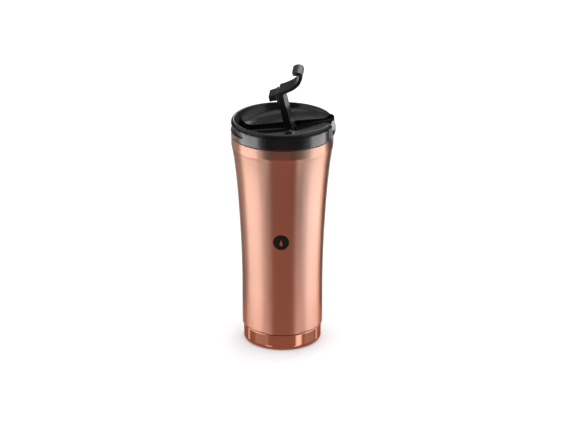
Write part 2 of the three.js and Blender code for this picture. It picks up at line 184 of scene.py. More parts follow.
def held_flat(outline, closed, margin=0.35):
    """Adds a point near each end of the long straight sides, so their shading stays flat."""
    ends = zip(outline, outline[1:] + outline[:1] if closed else outline[1:])
    line = []
    for (ar, az), (br, bz) in ends:
        line.append((ar, az))
        share = margin / max(math.hypot(br - ar, bz - az), 1e-9)
        if share < 0.25:
            line += [(ar + (br - ar) * t, az + (bz - az) * t) for t in (share, 1 - share)]
    return line if closed else [*line, outline[-1]]


def turned(name, outline, material, steps=TURN_STEPS, closed=True):
    """Turns an outline of (radius, height) about Z. Points on the axis become one vertex each."""
    outline = held_flat(outline, closed)
    angles = np.linspace(0, 2 * math.pi, steps, endpoint=False)
    circle = np.stack([np.cos(angles), np.sin(angles)], 1)
    vertices, rings = [], []
    for r, z in outline:
        first = len(vertices)
        if r < 1e-6:
            vertices.append((0, 0, z))
            rings.append([first] * steps)
        else:
            vertices.extend((r * c, r * s, z) for c, s in circle)
            rings.append(list(range(first, first + steps)))
    pairs = list(zip(rings, rings[1:] + rings[:1])) if closed else list(zip(rings, rings[1:]))
    faces = []
    for low, high in pairs:
        for k in range(steps):
            n = (k + 1) % steps
            face = list(dict.fromkeys([low[k], low[n], high[n], high[k]]))
            if len(face) > 2:
                faces.append(face)
    return new_object(name, vertices, faces, material, sharp=50)


# ---- Moulded pieces: distances to surfaces, then a mesh over a grid ----
def outline_distance(u, v, corners):
    """Distance in a plane to a closed outline, negative inside it."""
    nearest = np.full(np.broadcast(u, v).shape, np.inf)
    inside = np.zeros(nearest.shape, bool)
    for (au, av), (bu, bv) in zip(corners, corners[1:] + corners[:1]):
        du, dv = bu - au, bv - av
        share = np.clip(((u - au) * du + (v - av) * dv) / (du * du + dv * dv), 0, 1)
        nearest = np.minimum(nearest, (u - au - du * share) ** 2 + (v - av - dv * share) ** 2)
        if dv:
            inside ^= ((av <= v) != (bv <= v)) & (u < au + (v - av) / dv * du)
    return np.where(inside, -1, 1) * np.sqrt(nearest)


class TurnedOutline:
    """The same distance for a turned solid, read from a fine table of radius and height."""
    FINE = 0.12

    def __init__(self, corners, high_r, low_z, high_z):
        self.low = (-1.0, low_z)
        r = np.arange(self.low[0], high_r, self.FINE)
        z = np.arange(low_z, high_z, self.FINE)
        self.table = outline_distance(r[:, None], z[None, :], corners)

    def __call__(self, r, z):
        rows, columns = self.table.shape
        u = np.clip((r - self.low[0]) / self.FINE, 0, rows - 1.001)
        v = np.clip((z - self.low[1]) / self.FINE, 0, columns - 1.001)
        i, j = u.astype(np.int32), v.astype(np.int32)
        fu, fv = u - i, v - j
        t = self.table
        return ((t[i, j] * (1 - fu) + t[i + 1, j] * fu) * (1 - fv)
                + (t[i, j + 1] * (1 - fu) + t[i + 1, j + 1] * fu) * fv)


def both(a, b, radius=0.0):
    """Where two solids overlap, with the edge between them rounded."""
    if not radius:
        return np.maximum(a, b)
    return (np.minimum(np.maximum(a, b), -radius)
            + np.hypot(np.maximum(a + radius, 0), np.maximum(b + radius, 0)))


def either(a, b, radius=0.0):
    """Two solids joined, with the corner between them filled."""
    return -both(-a, -b, radius)


def cut(a, b, radius=0.0):
    """The first solid less the second."""
    return both(a, -b, radius)


def oblong(x, y, centre, half_x, half_y, corner=2.0):
    """Distance in a plane to an oblong with rounded corners."""
    out_x, out_y = np.abs(x - centre) - half_x + corner, np.abs(y) - half_y + corner
    return (np.hypot(np.maximum(out_x, 0), np.maximum(out_y, 0))
            + np.minimum(np.maximum(out_x, out_y), 0) - corner)


def surface_net(field, low, step):
    """One vertex in each grid cell that the surface crosses, and one quad across each crossed edge."""
    cells = tuple(n - 1 for n in field.shape)
    number = int(np.prod(cells))
    total, count, quads = np.zeros((number, 3)), np.zeros(number), []
    for axis in range(3):
        here, there = [slice(None)] * 3, [slice(None)] * 3
        here[axis], there[axis] = slice(None, -1), slice(1, None)
        a, b = field[tuple(here)], field[tuple(there)]
        found = np.argwhere((a < 0) != (b < 0))
        va, vb = a[tuple(found.T)], b[tuple(found.T)]
        point = found.astype(float)
        point[:, axis] += va / (va - vb)
        u, v = (axis + 1) % 3, (axis + 2) % 3
        around = []
        for du, dv in ((0, 0), (-1, 0), (-1, -1), (0, -1)):
            cell = found.copy()
            cell[:, u] += du
            cell[:, v] += dv
            around.append(np.ravel_multi_index(tuple(cell.T), cells))
            for k in range(3):
                total[:, k] += np.bincount(around[-1], point[:, k], number)
            count += np.bincount(around[-1], minlength=number)
        quad = np.stack(around, 1)
        quad[vb < 0] = quad[vb < 0][:, ::-1]
        quads.append(quad)
    used = np.flatnonzero(count)
    index = np.zeros(number, np.int64)
    index[used] = np.arange(len(used))
    vertices = np.array(low) + step * total[used] / count[used, None]
    return vertices, index[np.concatenate(quads)]


def slope(distance, p, reach):
    """The direction in which the distance grows, at each point."""
    grown = []
    for k in range(3):
        ahead, behind = p.copy(), p.copy()
        ahead[:, k] += reach
        behind[:, k] -= reach
        grown.append(distance(*ahead.T) - distance(*behind.T))
    g = np.stack(grown, 1)
    return g / np.maximum(np.linalg.norm(g, axis=1, keepdims=True), 1e-9)


def moulded(name, distance, low, high, step, keep, material, place=None):
    """A mesh of the solid where distance is negative, thinned to a share of its faces, with the true
    surface's own normals. place turns the piece's own frame into the row frame."""
    axes = [np.arange(a, b + step, step) for a, b in zip(low, high)]
    field = distance(axes[0][:, None, None], axes[1][None, :, None], axes[2][None, None, :])
    p, quads = surface_net(field, low, step)
    for _ in range(3):
        off = np.clip(distance(*p.T), -step / 2, step / 2)
        p -= slope(distance, p, 0.02) * off[:, None]
    obj = new_object(name, p, quads.tolist(), material)
    thin = obj.modifiers.new("thin", "DECIMATE")
    thin.ratio = keep
    graph = bpy.context.evaluated_depsgraph_get()
    mesh = bpy.data.meshes.new_from_object(obj.evaluated_get(graph))
    obj.modifiers.clear()
    obj.data = mesh
    p = np.zeros(len(mesh.vertices) * 3)
    mesh.vertices.foreach_get("co", p)
    p = p.reshape(-1, 3) / MM
    normals = slope(distance, p, 0.08)
    if place is not None:
        mesh.transform(place)
        normals = normals @ np.array(place.to_3x3()).T
    mesh.polygons.foreach_set("use_smooth", [True] * len(mesh.polygons))
    mesh.normals_split_custom_set_from_vertices([tuple(n) for n in normals])
    mesh.name = name
    return obj


# ---- Materials ----
class Finish:
    """A Principled material and short ways to add the nodes behind its sockets."""

    def __init__(self, name, **values):
        self.material = bpy.data.materials.new(name)
        self.material.use_nodes = True
        self.nodes = self.material.node_tree.nodes
        self.links = self.material.node_tree.links
        self.shader = self.nodes["Principled BSDF"]
        for socket, value in values.items():
            self.shader.inputs[socket.replace("_", " ")].default_value = value
        self.coordinates = self.nodes.new("ShaderNodeTexCoord").outputs["Object"]

    def noise(self, scale, stretch=(1, 1, 1), detail=3.0, roughness=0.55):
        mapping = self.nodes.new("ShaderNodeMapping")
        mapping.inputs["Scale"].default_value = stretch
        self.links.new(self.coordinates, mapping.inputs["Vector"])
        noise = self.nodes.new("ShaderNodeTexNoise")
        noise.inputs["Scale"].default_value = scale
        noise.inputs["Detail"].default_value = detail
        noise.inputs["Roughness"].default_value = roughness
        self.links.new(mapping.outputs["Vector"], noise.inputs["Vector"])
        return noise.outputs["Fac"]

    def spread(self, value, low, high, from_low=0.3, from_high=0.7):
        """Maps a value onto low to high."""
        node = self.nodes.new("ShaderNodeMapRange")
        for socket, number in (("From Min", from_low), ("From Max", from_high),
                               ("To Min", low), ("To Max", high)):
            node.inputs[socket].default_value = number
        self.links.new(value, node.inputs["Value"])
        return node.outputs["Result"]

    def math(self, operation, a, b):
        node = self.nodes.new("ShaderNodeMath")
        node.operation = operation
        for socket, value in zip(node.inputs, (a, b)):
            if isinstance(value, (int, float)):
                socket.default_value = value
            else:
                self.links.new(value, socket)
        return node.outputs["Value"]

    def mixed(self, factor, first, second):
        node = self.nodes.new("ShaderNodeMix")
        node.data_type = "RGBA"
        self.links.new(factor, node.inputs["Factor"])
        for name, colour in (("A", first), ("B", second)):
            socket = next(s for s in node.inputs if s.name == name and s.type == "RGBA")
            if isinstance(colour, tuple):
                socket.default_value = (*colour, 1)
            else:
                self.links.new(colour, socket)
        return next(s for s in node.outputs if s.type == "RGBA")

    def edges(self, low, high):
        """0 on flat faces, rising to 1 along convex edges."""
        worn = self.nodes.new("ShaderNodeNewGeometry").outputs["Pointiness"]
        return self.spread(worn, 0, 1, low, high)

    def bump(self, height, distance, strength=1.0, before=None):
        node = self.nodes.new("ShaderNodeBump")
        node.inputs["Strength"].default_value = strength
        node.inputs["Distance"].default_value = distance
        self.links.new(height, node.inputs["Height"])
        if before is not None:
            self.links.new(before, node.inputs["Normal"])
        return node.outputs["Normal"]

    def tangent_round_z(self):
        node = self.nodes.new("ShaderNodeTangent")
        node.direction_type = "RADIAL"
        node.axis = "Z"
        self.links.new(node.outputs["Tangent"], self.shader.inputs["Tangent"])

    def set(self, socket, value):
        self.links.new(value, self.shader.inputs[socket])


def brushed_metal(name, dark, light, roughness, anisotropy, grain):
    """Sheet metal brushed round Z: streaks that run round the body and blur what it mirrors upwards."""
    f = Finish(name, Metallic=1.0, Anisotropic=anisotropy, Anisotropic_Rotation=0.25)
    f.tangent_round_z()
    streaks = f.noise(1.0, (60, 60, 4200), detail=4, roughness=0.7)
    fine = f.noise(1.0, (170, 170, 11000), detail=2, roughness=0.6)
    clouds = f.noise(38.0, detail=3)
    f.set("Base Color", f.mixed(f.spread(f.math("ADD", f.math("MULTIPLY", streaks, 0.6),
                                                f.math("MULTIPLY", clouds, 0.4)), 0, 1),
                                dark, light))
    f.set("Roughness", f.spread(f.math("ADD", f.math("MULTIPLY", fine, 0.5),
                                       f.math("MULTIPLY", clouds, 0.5)),
                                roughness - 0.03, roughness + 0.03))
    f.set("Normal", f.bump(f.math("ADD", streaks, f.math("MULTIPLY", fine, 0.5)), grain, 0.35))
    return f.material


def polished_metal(name, dark, light, roughness):
    """Spun and polished sheet: faint rings and soft clouds of tone and gloss."""
    f = Finish(name, Metallic=1.0)
    rings = f.noise(1.0, (40, 40, 2600), detail=3)
    clouds = f.noise(60.0, detail=4)
    f.set("Base Color", f.mixed(f.spread(clouds, 0, 1), dark, light))
    f.set("Roughness", f.spread(f.math("ADD", f.math("MULTIPLY", rings, 0.4),
                                       f.math("MULTIPLY", clouds, 0.6)),
                                roughness - 0.02, roughness + 0.04))
    f.set("Normal", f.bump(rings, 0.000004, 0.25))
    return f.material


def moulded_plastic(name, dark, light, roughness, grain, **values):
    """Black moulding: a fine spark-eroded grain, slow gloss changes and edges rubbed a little paler."""
    f = Finish(name, **values)
    skin = f.noise(2600.0, detail=2)
    flow = f.noise(55.0, detail=4)
    handled = f.noise(240.0, detail=5, roughness=0.65)
    worn = f.math("MULTIPLY", f.edges(0.52, 0.62), f.spread(handled, 0.2, 1.0))
    f.set("Base Color", f.mixed(worn, dark, light))
    f.set("Roughness", f.math("ADD", f.spread(flow, roughness - 0.04, roughness + 0.05),
                              f.spread(handled, -0.02, 0.03)))
    f.set("Normal", f.bump(skin, grain, 0.3, f.bump(handled, grain * 2, 0.12)))
    return f.material


def silicone_rubber(name):
    f = Finish(name, Specular_IOR_Level=0.8)
    skin = f.noise(1500.0, detail=3)
    bloom = f.noise(120.0, detail=4)
    f.set("Base Color", f.mixed(f.spread(bloom, 0, 1), (0.005, 0.0051, 0.0056), (0.010, 0.0102, 0.011)))
    f.set("Roughness", f.spread(bloom, 0.28, 0.36))
    f.set("Normal", f.bump(skin, 0.00003, 0.3))
    return f.material


def cured_resin(name):
    f = Finish(name, Subsurface_Weight=0.05)
    bubbles = f.noise(900.0, detail=4)
    f.set("Base Color", f.mixed(f.spread(bubbles, 0, 1), (0.28, 0.2, 0.1), (0.42, 0.33, 0.19)))
    f.set("Roughness", f.spread(bubbles, 0.3, 0.5))
    f.set("Normal", f.bump(bubbles, 0.0001, 0.4))
    return f.material


def printed_ink(name):
    f = Finish(name, Specular_IOR_Level=0.35)
    grain = f.noise(1800.0, detail=3)
    f.set("Base Color", f.mixed(f.spread(grain, 0, 1), (0.0045, 0.0032, 0.003), (0.008, 0.0062, 0.006)))
    f.set("Roughness", f.spread(grain, 0.38, 0.5))
    f.set("Normal", f.bump(grain, 0.00001, 0.2))
    return f.material


COPPER_DARK, COPPER_LIGHT = (0.87, 0.475, 0.35), (0.92, 0.525, 0.395)
BRUSHED = brushed_metal("brushed_copper", COPPER_DARK, COPPER_LIGHT, 0.33, 0.70, 0.00001)
POLISHED = polished_metal("polished_copper", (0.76, 0.41, 0.285), (0.82, 0.455, 0.32), 0.13)
LINER = brushed_metal("liner_steel", (0.52, 0.52, 0.53), (0.62, 0.62, 0.62), 0.32, 0.6, 0.00001)
PIN = polished_metal("pin_steel", (0.52, 0.52, 0.53), (0.6, 0.6, 0.6), 0.2)
LID = moulded_plastic("lid_plastic", (0.0022, 0.0022, 0.0026), (0.012, 0.012, 0.013), 0.28, 0.00002,
                      Specular_IOR_Level=0.6, Coat_Weight=1.0, Coat_Roughness=0.2, Coat_IOR=1.6)
LEVER = moulded_plastic("lever_plastic", (0.004, 0.0042, 0.005), (0.02, 0.021, 0.023), 0.33, 0.00003,
                        Specular_IOR_Level=1.0)
SILICONE = silicone_rubber("silicone")
RESIN = cured_resin("seal_resin")
INK = printed_ink("mark_ink")


def piece(obj, body, slot, *nodes):
    """Rides the piece on its body and puts it in the place of its CAD nodes. slot is not used."""
    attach(obj, body)
    if nodes:
        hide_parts(*nodes)
    return obj


# ---- Steel body ----
FLARE = smooth_line([(BODY_R, 15.0), (BODY_R, 38.0), (32.85, 62.0), (33.95, 94.0),
                     (36.1, 128.0), (38.35, 151.0), (40.3, 164.4)], 72)


def flare_radius(z):
    radii, heights = zip(*FLARE)
    return float(np.interp(z, heights, radii))


def outer_wall():
    outside = [(NECK_R, NECK_Z), (NECK_R, SHOULDER_Z), (BODY_R - 0.7, SHOULDER_Z + 0.1),
               (BODY_R - 0.15, SHOULDER_Z + 0.5), *FLARE, (COLLAR_R - 0.2, COLLAR_Z - 1.1),
               (COLLAR_R, COLLAR_Z), (COLLAR_R, MOUTH_Z)]
    inside = [(COLLAR_R - SHEET, MOUTH_Z), (COLLAR_R - SHEET, COLLAR_Z),
              *[(r - SHEET, z) for r, z in reversed(FLARE)],
              (BODY_R - 0.9, SHOULDER_Z + 0.8), (NECK_R - SHEET, SHOULDER_Z + SHEET),
              (NECK_R - SHEET, NECK_Z)]
    obj = turned("outer_wall_skin", rounded(outside + inside, 0.18, sharpest=20), BRUSHED)
    return piece(obj, "cup", "brushed_copper", "outer_wall")


def inner_wall():
    bore = [(r - 2 * SHEET - VACUUM_GAP, z) for r, z in FLARE
            if LINER_FOOT_Z + 8 < z < LINER_MOUTH_Z - 6]
    foot_r = BODY_R - 2 * SHEET - VACUUM_GAP
    inside = [(foot_r, LINER_FOOT_Z + GAP), *bore, (LINER_MOUTH_R, LINER_MOUTH_Z),
              (LINER_MOUTH_R, MOUTH_Z - 2.6), (LINER_MOUTH_R + 0.9, MOUTH_Z - 0.9),
              (COLLAR_R - SHEET - GAP, MOUTH_Z)]
    outside = [(COLLAR_R - SHEET - GAP, MOUTH_Z - SHEET),
               (LINER_MOUTH_R + 1.2, MOUTH_Z - SHEET - 0.9),
               (LINER_MOUTH_R + SHEET, MOUTH_Z - 2.8), (LINER_MOUTH_R + SHEET, LINER_MOUTH_Z),
               *[(r + SHEET, z) for r, z in reversed(bore)], (foot_r + SHEET, LINER_FOOT_Z + GAP)]
    outline = list(reversed(rounded(inside + outside, 0.6, sharpest=15)))
    return piece(turned("liner_tube", outline, LINER), "cup", "liner_steel", "inner_wall")


def inner_bottom():
    outer_r = BODY_R - SHEET - VACUUM_GAP
    corner = LINER_FOOT_Z - LINER_FLOOR_Z
    outline = [(0, LINER_FLOOR_Z),
               *arc(outer_r - corner, LINER_FOOT_Z, corner, -90, 0, 16),
               *arc(outer_r - corner, LINER_FOOT_Z, corner - SHEET, 0, -90, 16),
               (0, LINER_FLOOR_Z + SHEET)]
    return piece(turned("liner_bottom", outline, LINER, closed=False), "cup", "liner_steel",
                 "inner_bottom")


def outer_bottom():
    plate_r = NECK_R - SHEET - GAP
    outline = rounded([(EVACUATION_R, PLATE_Z), (plate_r - 1.2, PLATE_Z),
                       (plate_r - SHEET, PLATE_Z - 0.6), (plate_r - SHEET, NECK_Z + 0.1),
                       (plate_r, NECK_Z + 0.1), (plate_r, PLATE_Z),
                       (plate_r - 0.8, PLATE_Z + SHEET), (EVACUATION_R, PLATE_Z + SHEET)], 0.2)
    return piece(turned("closing_plate", outline, LINER, 96), "cup", "liner_steel", "outer_bottom")


def seal_bead():
    stem_r, cap_top = EVACUATION_R - GAP, PLATE_Z - GAP
    outline = [(0, cap_top - 1.2), (1.2, cap_top - 1.15), (2.2, cap_top - 0.95),
               (2.9, cap_top - 0.55), (3.2, cap_top - 0.1), (3.1, cap_top), (stem_r, cap_top),
               (stem_r, PLATE_Z + SHEET + 0.4), (0.7, PLATE_Z + SHEET + 0.62),
               (0, PLATE_Z + SHEET + 0.7)]
    return piece(turned("seal_bead", outline, RESIN, 48, closed=False), "cup", "seal_resin",
                 "vacuum_seal_bead")


def getter():
    low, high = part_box("getter")
    half = (high - low) / MM / 2
    ring = rounded([(1.2, 0.5), (half.x - 0.6, 0.0), (half.x, 0.6), (half.x, 2 * half.z - 0.3),
                    (half.x - 0.3, 2 * half.z), (1.2, 2 * half.z - 0.6)], 0.25)
    obj = turned("getter_cup", [(0, 0.5), *ring[3:], (0, 2 * half.z - 0.6)], LINER, 48, closed=False)
    obj.data.transform(Matrix.Translation(((low + high) / 2).xy.to_3d() + Vector((0, 0, low.z))))
    return piece(obj, "cup", "liner_steel", "getter")


def base_cap():
    centre = CAP_R - CAP_CORNER_R
    outline = [(0, 1.2), (19.3, 1.2), (19.9, 1.05), (21.2, 0.15), (21.8, 0),
               *arc(centre, CAP_CORNER_R, CAP_CORNER_R, -90, 0, 14),
               (CAP_R, CAP_TOP_Z - 0.3), (CAP_R - 0.08, CAP_TOP_Z - 0.08), (CAP_R - 0.25, CAP_TOP_Z),
               (CAP_R - SHEET, CAP_TOP_Z),
               *arc(centre, CAP_CORNER_R, CAP_CORNER_R - SHEET, 0, -90, 14),
               (21.7, SHEET), (19.7, 1.2 + SHEET), (0, 1.2 + SHEET)]
    return piece(turned("base_cap_shell", outline, POLISHED, closed=False), "cup",
                 "polished_copper", "base_cap")


def round_mark():
    """A plain printed disc with a drop left open in it, lying on the front of the body."""
    centre_x, centre_z, disc_r, rings, spokes = 1.6, 95.3, 6.5, 8, 96
    drop_half, drop_reach, drop_shift = 1.75, 3.0, 0.3
    ink, sunk = 0.03, 0.02

    def drop(t):
        """Outline of the drop at angle t from straight up: a circle drawn out to a point."""
        swell = 1 - math.cos(t)
        return (drop_half * math.sin(t) * (0.5 * swell) ** 0.9,
                drop_reach * math.cos(t) - drop_shift)

    vertices = []
    for lift in (ink, -sunk):
        for k in range(rings + 1):
            for i in range(spokes):
                t = 2 * math.pi * i / spokes
                du, dv = drop(t)
                share = k / rings
                u = du + (disc_r * math.sin(t) - du) * share
                v = dv + (disc_r * math.cos(t) - dv) * share
                z = centre_z + v
                r = flare_radius(z) + lift
                a = (centre_x + u) / r
                vertices.append((r * math.sin(a), -r * math.cos(a), z))
    faces, layer = [], (rings + 1) * spokes
    for i in range(spokes):
        n = (i + 1) % spokes
        for k in range(rings):
            a, b = k * spokes, (k + 1) * spokes
            faces.append((a + i, b + i, b + n, a + n)[::-1])
            faces.append((layer + a + i, layer + b + i, layer + b + n, layer + a + n))
        faces.append((i, n, layer + n, layer + i)[::-1])
        edge = rings * spokes
        faces.append((edge + i, edge + n, layer + edge + n, layer + edge + i))
    obj = new_object("round_mark", vertices, faces, INK, sharp=40)
    return piece(obj, "cup", "brushed_copper")


# ---- Lid ----
def deck_height(x):
    return 181.0 + 0.1265 * x - 0.0003 * x * x


def below_arm(x, slope, offset):
    """A line through the hinge at a slope, lowered by an offset across it."""
    return PIVOT.z + (x - PIVOT.x) * math.tan(slope) - offset / math.cos(slope)


RAMP_FOOT_X, RAMP_TOP_X, FLOOR_END_X, REACH = 12.5, 39.0, 9.5, 50
CLEAR_OF_ARM, CLEAR_OF_PAD = 3.4, 4.1      # from the arm's middle plane to the trough's floor
CHIMNEY_WALL = 1.2
CUT_TOP_Z = 180      # above the trough's floor

LOW_Z, HIGH_Z = SKIRT_Z - 3, RIM_Z + 6
BLANK = TurnedOutline([
    (-50, SKIRT_Z), *arc(SKIRT_R - 0.6, SKIRT_Z + 0.6, 0.6, -90, 0, 4), (SKIRT_R, BAND_Z),
    (BAND_R - 0.35, BAND_Z), (BAND_R - 0.1, BAND_Z + 0.15), (BAND_R, BAND_Z + 0.5), (BAND_R, 184.9),
    (BAND_R - 0.1, 186.0), (BAND_R - 0.42, 187.0), (BAND_R - 0.95, 187.75), (RIM_R - 0.35, 188.2),
    (RIM_R - 0.9, RIM_Z), (38.7, RIM_Z), (-50, RIM_Z)], 48, LOW_Z, HIGH_Z)
BOWL = TurnedOutline(
    [(-50, 172.4), *smooth_line([(20, 172.4), (26, 173.9), (30.2, 176.2), (33.5, 179.1), (35.9, 182.2),
                                 (37.4, 185.4), (38.1, 187.4)], 30),
     (38.45, 188.05), (39.0, RIM_Z + 0.05), (39.0, 210), (-50, 210)], 48, LOW_Z, HIGH_Z)
WELL = TurnedOutline(
    [(-50, 150), (35.3, 150), *smooth_line([(35.3, 171.6), (35.7, 176.5), (36.7, 181.6),
                                            (37.7, 185.4), (38.15, 187.4)], 16),
     (38.45, 188.05), (39.0, RIM_Z + 0.05), (39.0, 210), (-50, 210)], 48, LOW_Z, HIGH_Z)
LUG = TurnedOutline(
    rounded([(37.5, 176.6), (BAND_R - 0.2, 176.6), (LUG_R, 178.4), (LUG_R, 186.2),
             (LUG_R - 0.5, 187.6), (LUG_R - 1.9, RIM_Z), (37.5, RIM_Z)], 0.8), 48, LOW_Z, HIGH_Z)
SCOOP_R = 52.0
SCOOP_X = SCOOP_R - 38.2
SCOOP = TurnedOutline(
    rounded([(SCOOP_R + 3.2, 179.4), (SCOOP_R + 8, 178.9), (SCOOP_R + 8, 185.7),
             (SCOOP_R + 3.2, 185.1), (SCOOP_R, 182.7), (SCOOP_R, 180.6)], 0.8), 75, LOW_Z, HIGH_Z)


def trough_floor(drop):
    """From the slot end past the hinge to the foot of the ramp."""
    flat = below_arm(PIVOT.x, CLOSED, CLEAR_OF_PAD) - drop
    foot_x = RAMP_FOOT_X + 0.4 * drop
    return [(-REACH, below_arm(-REACH, CLOSED, CLEAR_OF_PAD) - drop), (PIVOT.x, flat),
            (FLOOR_END_X + 0.4 * drop, flat), (foot_x, below_arm(foot_x, RAMP, CLEAR_OF_ARM + drop))]


TROUGH = [*trough_floor(0), (RAMP_TOP_X, below_arm(RAMP_TOP_X, RAMP, CLEAR_OF_ARM)),
          (43.2, 181.2), (REACH, 181.2), (REACH, 210), (-REACH, 210)]
UNDER_TROUGH = [(-REACH, 150), (REACH, 150),
                (REACH, below_arm(REACH, RAMP, CLEAR_OF_ARM + FLOOR_THICKNESS)),
                *reversed(trough_floor(FLOOR_THICKNESS))]
EAR_FOOT_Z = below_arm(PIVOT.x, CLOSED, CLEAR_OF_PAD) - 1
EAR = [(PIVOT.x - EAR_HALF_X, EAR_FOOT_Z), (PIVOT.x + EAR_HALF_X, EAR_FOOT_Z),
       *arc(PIVOT.x, PIVOT.z, EAR_TOP_R, 0, 180, 16)]


def slot_surround(x, y, margin):
    """Room around the sip slot, run out to the skirt."""
    half_y = SLOT_HALF_Y + margin
    return np.minimum(oblong(x, y, SLOT_X, SLOT_HALF_X + margin, half_y),
                      np.maximum(x - SLOT_X, np.abs(y) - half_y))


def lid_distance(x, y, z):
    r, side = np.hypot(x, y), np.abs(y)
    bowl = BOWL(r, z)
    lug = both(both(LUG(r, z), side - LUG_HALF, 2.2), 20 - x)
    shell = either(BLANK(r, z), lug, 0.7)
    above_deck = both(deck_height(x) - z, bowl, 3.0)
    shell = cut(shell, above_deck, 0.35)
    trough = both(outline_distance(x, z, TROUGH), side - TROUGH_HALF, 0.9)
    open_end = np.maximum(6 - x, side - TROUGH_HALF - 1)
    shell = cut(shell, np.maximum(trough, np.minimum(WELL(r, z), open_end)), 0.4)
    wall_half = TROUGH_HALF + DECK_THICKNESS
    under_deck = both(z - deck_height(x) + DECK_THICKNESS, wall_half - side, 0.6)
    under_trough = both(outline_distance(x, z, UNDER_TROUGH), side - wall_half - 0.01)
    chimney = np.maximum(slot_surround(x, y, CHIMNEY_WALL), SKIRT_Z + 0.6 - z)
    under = both(np.minimum(under_deck, under_trough), r - SKIRT_INNER_R, 0.8)
    shell = cut(shell, np.maximum(under, -chimney), 0.2)
    ear_middle = (EAR_INNER + TROUGH_HALF + 1) / 2
    ear = both(outline_distance(x, z, EAR), np.abs(side - ear_middle) - ear_middle + EAR_INNER, 0.5)
    shell = either(shell, ear, 0.5)
    shell = cut(shell, np.maximum(SCOOP(np.hypot(x - SCOOP_X, y), z), x + 20), 0.5)
    groove = np.maximum(np.maximum(GROOVE_R - r, r - 39), np.abs(z - GROOVE_Z) - GROOVE_HALF)
    shell = cut(shell, groove, 0.1)
    pin_hole = np.maximum(np.hypot(x - PIVOT.x, z - PIVOT.z) - PIN_R - 0.25, side - PIN_HALF - GAP)
    shell = cut(shell, pin_hole, 0.15)
    slot = np.maximum(oblong(x, y, SLOT_X, SLOT_HALF_X, SLOT_HALF_Y), z - CUT_TOP_Z)
    shell = cut(shell, slot, 0.35)
    vent = np.maximum(np.hypot(x - VENT_X, y) - VENT_R, z - CUT_TOP_Z)
    return cut(shell, vent, 0.2)


def lid_shell():
    edge = 1.3 * LID_STEP
    obj = moulded("lid_moulding", lid_distance,
                  (-BAND_R - edge, -BAND_R - edge, SKIRT_Z - edge),
                  (LUG_R + edge, BAND_R + edge, RIM_Z + edge), LID_STEP, 0.45, LID)
    return piece(obj, "lid", "lid_plastic", "lid_shell")


def insert_distance(x, y, z):
    r = np.hypot(x, y)
    dish_r = SKIRT_INNER_R - GAP
    dish = both(r - dish_r, np.abs(z - SKIRT_Z - 1.9) - 1.7, 0.4)
    dish = cut(dish, both(r - dish_r + 1.4, SKIRT_Z + 1.6 - z, 0.5), 0.2)
    dish = cut(dish, slot_surround(x, y, CHIMNEY_WALL + GAP), 0.2)
    return cut(dish, np.hypot(x - VENT_X, y) - VENT_R, 0.2)


def lid_insert():
    low, high = (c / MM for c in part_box("lid_insert"))
    edge = Vector((0.7, 0.7, 0.7))
    obj = moulded("lid_insert_dish", insert_distance, low - edge, high + edge, 0.5, 0.4, LID)
    return piece(obj, "lid", "lid_plastic", "lid_insert")


def seal_ring():
    lip = LINER_MOUTH_R - 0.25
    outline = rounded([(35.3, 166.3), (36.0, 166.3), (lip, 166.7), (lip, 167.1), (36.1, 167.5),
                       (36.1, 167.9), (lip, 168.2), (lip, 168.6), (36.0, 169.2), (35.3, 169.2)], 0.15)
    return piece(turned("seal_ring", outline, SILICONE), "lid", "silicone", "lid_seal_ring")


def hinge_pin():
    outline = [(0, -PIN_HALF), (PIN_R - 0.25, -PIN_HALF), (PIN_R - 0.07, -PIN_HALF + 0.08),
               (PIN_R, -PIN_HALF + 0.25), (PIN_R, PIN_HALF - 0.25), (PIN_R - 0.07, PIN_HALF - 0.08),
               (PIN_R - 0.25, PIN_HALF), (0, PIN_HALF)]
    obj = turned("hinge_rod", outline, PIN, 48, closed=False)
    obj.data.transform(Matrix.Translation(PIVOT * MM) @ Matrix.Rotation(math.pi / 2, 4, "X"))
    return piece(obj, "lid", "pin_steel", "hinge_pin")


# ---- Lever ----
TO_ROW = Matrix.Translation(PIVOT * MM) @ Matrix.Rotation(-LEAN, 4, "Y")


def strip(middle, start_thickness, end_thickness, steps):
    """Outline of a strip along a smooth middle line."""
    line = np.array(smooth_line(middle, steps))
    along = np.gradient(line, axis=0)
    along /= np.linalg.norm(along, axis=1, keepdims=True)
    across = np.stack([along[:, 1], -along[:, 0]], 1)
    half = np.linspace(start_thickness, end_thickness, steps + 1)[:, None] / 2
    return [tuple(p) for p in (*(line + across * half), *(line - across * half)[::-1])]


ARM = [(ARM_HALF_FOOT, 0), (ARM_HALF_TOP, ARM_LENGTH - 1.6), (ARM_HALF_TOP, ARM_LENGTH),
       (-ARM_HALF_TOP + 0.6, ARM_LENGTH + 0.2), (-ARM_HALF_TOP, ARM_LENGTH - 0.5), (-ARM_HALF_FOOT, 0)]
TAB = strip([(-0.8, 33.0), (2.5, 33.4), (6.2, 34.1), (10.7, 35.3), (14.8, 37.4), (17.6, 40.4),
             (19.0, 43.4), (18.5, 45.5), (16.3, 46.3), (12.6, 46.4)], 2.7, 3.0, 40)
TAB_END_X, TAB_CORNER_R, TAB_TOP_Z = 12.4, 4.2, 44.2
ARM_EDGE_R, TIP_EDGE_R = 0.4, 1.1
STEM_Z = 23.5


